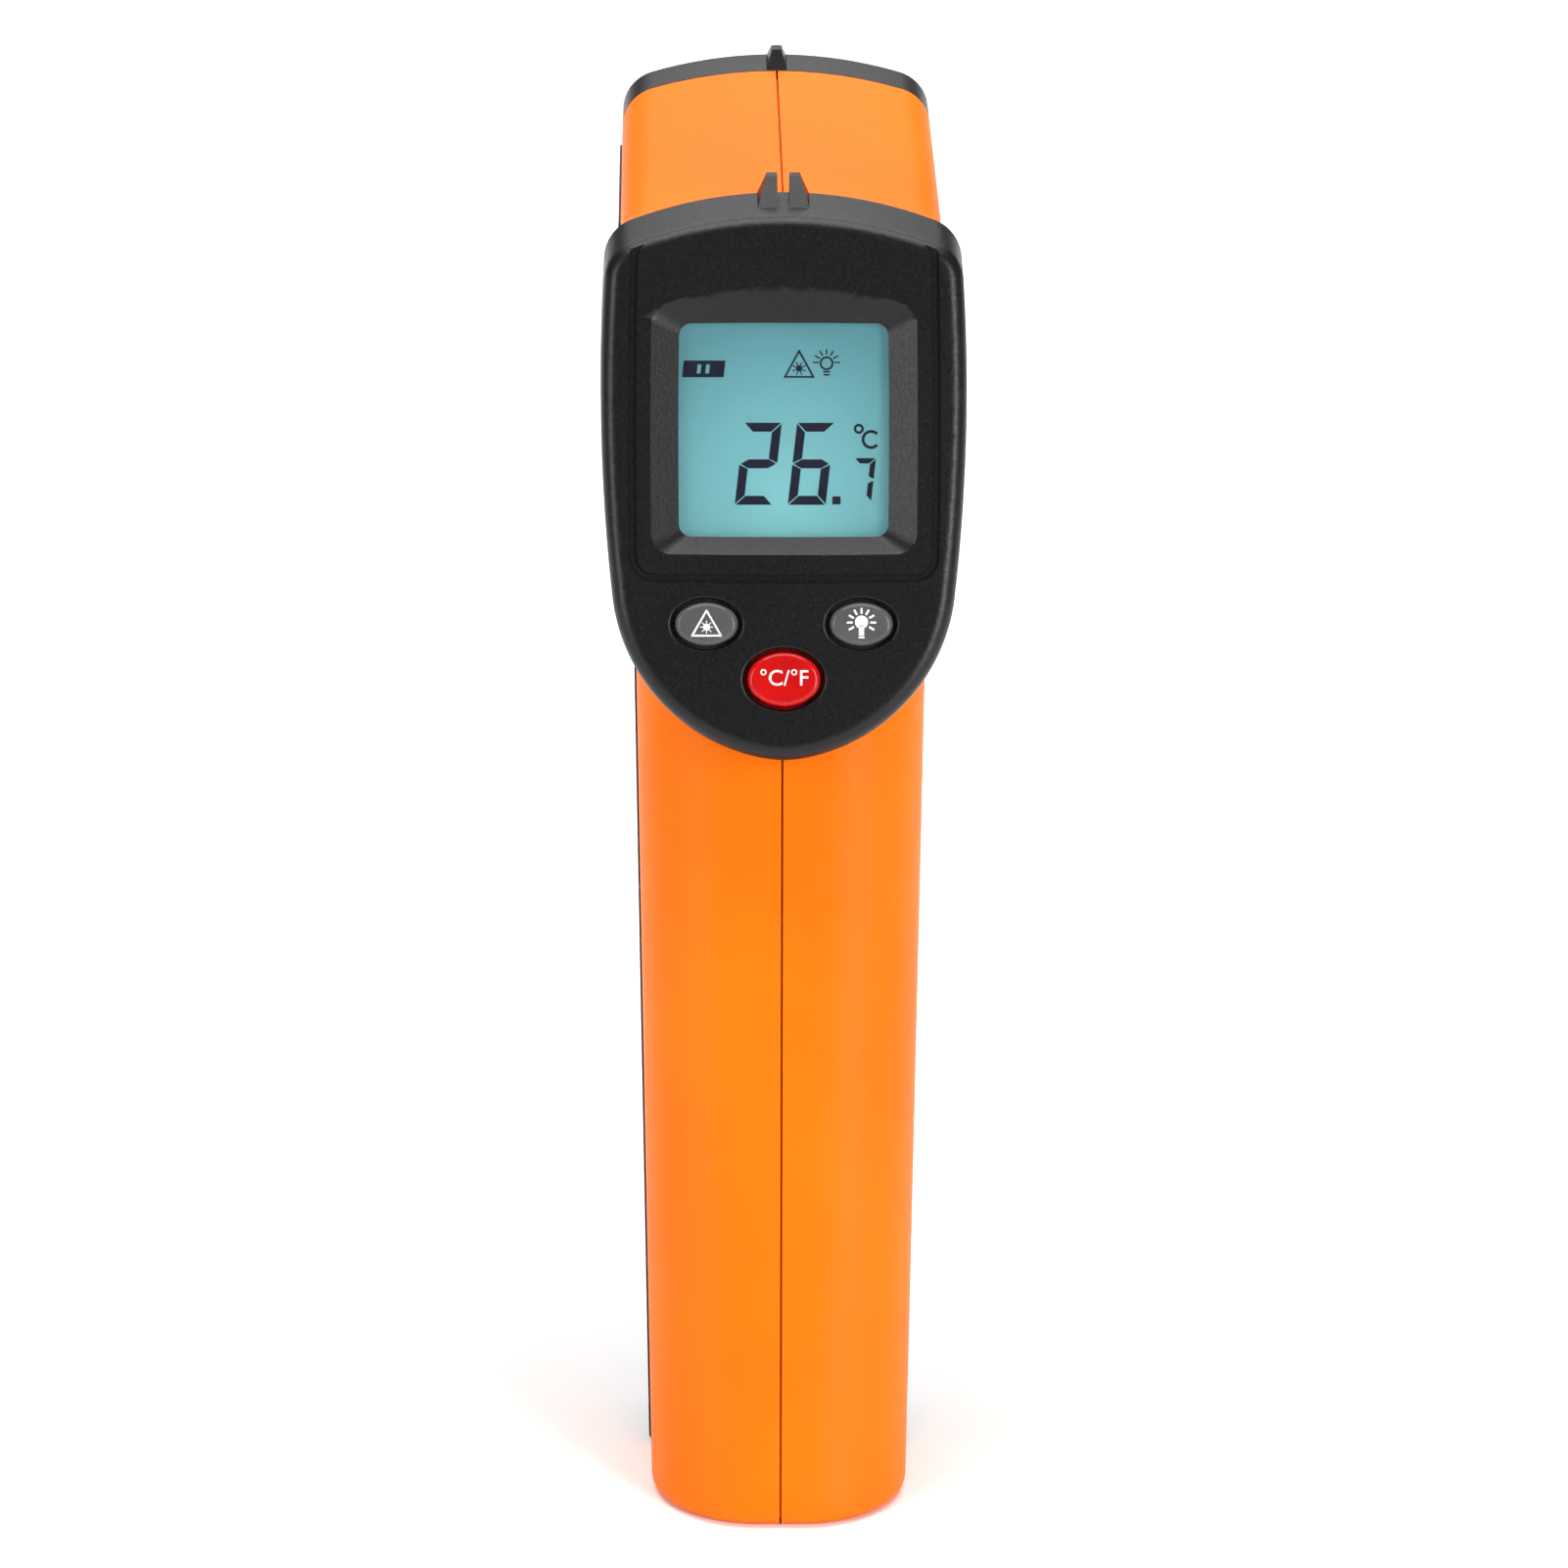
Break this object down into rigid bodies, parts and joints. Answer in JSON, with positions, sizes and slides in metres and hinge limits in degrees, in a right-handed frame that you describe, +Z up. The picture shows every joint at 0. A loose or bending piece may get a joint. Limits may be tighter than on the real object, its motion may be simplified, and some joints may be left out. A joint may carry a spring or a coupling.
{
  "type": "infrared thermometer",
  "caption": "Pistol-shaped infrared thermometer with a sprung trigger, a rear display with keys, a lens and laser mouth, open sights and a hinged battery door in the grip.",
  "frame": {"origin": "centre of the overall box on the plane that the grip's base stands on", "axes": "+Y along the barrel, the way the lens points; +Z up; +X to the right of the person who holds it"},
  "size_m": [0.043, 0.1005, 0.1531],
  "materials": {
    "orange_plastic": "lightly textured orange moulding",
    "black_plastic": "fine textured black moulding",
    "cap_plastic": "smooth satin black moulding",
    "dark_plastic": "plain black moulding, inside",
    "grey_rubber": "moulded silicone",
    "red_rubber": "moulded silicone",
    "clear_window": "clear polished acrylic",
    "lcd_glass": "liquid crystal cell",
    "light_guide": "milky light guide",
    "lens_plastic": "milky infrared lens",
    "lens_glass": "small glass lens",
    "board_green": "circuit board with solder mask",
    "chip_black": "moulded chip package",
    "steel": "bright steel",
    "nickel": "nickel plated spring steel",
    "brass": "turned brass",
    "aluminium": "drawn aluminium",
    "cell_wrap": "printed shrink wrap, plain",
    "white_plastic": "white moulding",
    "red_lead": "insulated wire",
    "black_lead": "insulated wire",
    "blue_lead": "insulated wire",
    "zebra": "layered contact rubber"
  },
  "bodies": {
    "housing": {"left_housing": "orange_plastic", "right_housing": "orange_plastic", "left_side_inlay": "black_plastic", "right_side_inlay": "black_plastic", "rear_bezel": "black_plastic", "nose_cap": "cap_plastic", "door_hinge_pin": "steel", "housing_screws": "steel", "display_window": "clear_window", "lcd_panel": "lcd_glass", "backlight_panel": "light_guide", "zebra_strip": "zebra", "main_board": "board_green", "board_chips": "chip_black", "board_screws": "steel", "buzzer": "dark_plastic", "key_switches": "dark_plastic", "trigger_pin": "steel", "trigger_spring": "nickel", "trigger_switch": "dark_plastic", "trigger_board": "board_green", "sensor_lens": "lens_plastic", "lens_ring": "cap_plastic", "sensor_barrel": "dark_plastic", "thermopile_can": "aluminium", "sensor_board": "board_green", "laser_module": "brass", "laser_lens": "lens_glass", "battery_tray": "dark_plastic", "left_cell": "cell_wrap", "right_cell": "cell_wrap", "battery_springs": "nickel", "battery_contacts": "nickel", "battery_link": "nickel", "positive_lead": "red_lead", "negative_lead": "black_lead", "trigger_leads": "blue_lead", "laser_leads": "red_lead", "sensor_leads": "blue_lead"},
    "trigger": {"trigger": "black_plastic"},
    "trigger_plunger": {"trigger_plunger": "white_plastic"},
    "laser_key": {"laser_key": "grey_rubber", "laser_key_plunger": "white_plastic"},
    "light_key": {"light_key": "grey_rubber", "light_key_plunger": "white_plastic"},
    "unit_key": {"unit_key": "red_rubber", "unit_key_plunger": "white_plastic"},
    "battery_door": {"battery_door": "black_plastic"}
  },
  "joints": [
    {"name": "trigger_pull", "type": "hinge", "parent": "housing", "child": "trigger", "pos_m": [0, 0.0075, 0.105], "axis": [-1, 0, 0], "range_deg": [0, 7], "stiffness_Nm_per_rad": 0.3, "springref_deg": -4.58, "deforming": ["trigger_spring"]},
    {"name": "trigger_plunger_slide", "type": "slide", "parent": "housing", "child": "trigger_plunger", "axis": [0, -1, 0], "range_m": [0, 0.00195]},
    {"name": "laser_key_press", "type": "slide", "parent": "housing", "child": "laser_key", "axis": [0, 0.9272, -0.3746], "range_m": [0, 0.0005], "stiffness_N_per_m": 1500, "springref_m": -0.0003},
    {"name": "light_key_press", "type": "slide", "parent": "housing", "child": "light_key", "axis": [0, 0.9272, -0.3746], "range_m": [0, 0.0005], "stiffness_N_per_m": 1500, "springref_m": -0.0003},
    {"name": "unit_key_press", "type": "slide", "parent": "housing", "child": "unit_key", "axis": [0, 0.9272, -0.3746], "range_m": [0, 0.0005], "stiffness_N_per_m": 1500, "springref_m": -0.0003},
    {"name": "battery_door_hinge", "type": "hinge", "parent": "housing", "child": "battery_door", "pos_m": [0, -0.02521, 0.0028], "axis": [-1, 0, 0], "range_deg": [0, 70]}
  ],
  "couplings": [
    {"joint": "trigger_plunger_slide", "follows": "trigger_pull", "m_per_rad": 0.0157}
  ]
}
